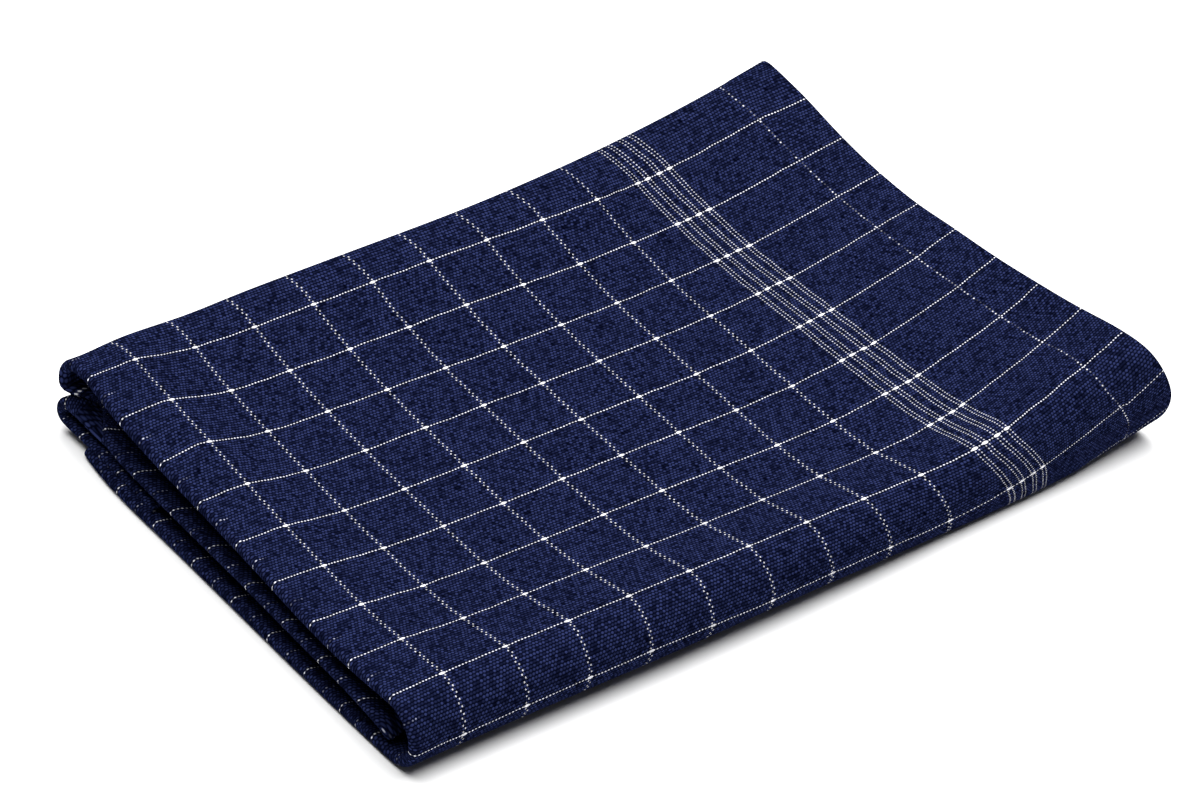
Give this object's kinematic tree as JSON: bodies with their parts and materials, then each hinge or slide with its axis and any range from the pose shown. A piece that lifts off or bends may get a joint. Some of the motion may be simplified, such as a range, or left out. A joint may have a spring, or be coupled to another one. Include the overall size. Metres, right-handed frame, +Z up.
{
  "type": "folded tea towel",
  "caption": "Folded tea towel: one hemmed woven cotton panel, doubled across its width and folded back and forth along its length into a low stack.",
  "frame": {"origin": "middle of the resting box, on the surface that the towel lies on", "axes": "+X from the round folded lips towards the hemmed edges, +Y from the big front fold towards the back rolls, +Z up"},
  "size_m": [0.2582, 0.195, 0.0316],
  "materials": {
    "cotton": "plain-weave cotton, navy blue with thin white window-pane lines and a border of four double lines, matt"
  },
  "bodies": {
    "root": {"towel": "cotton"}
  },
  "joints": []
}
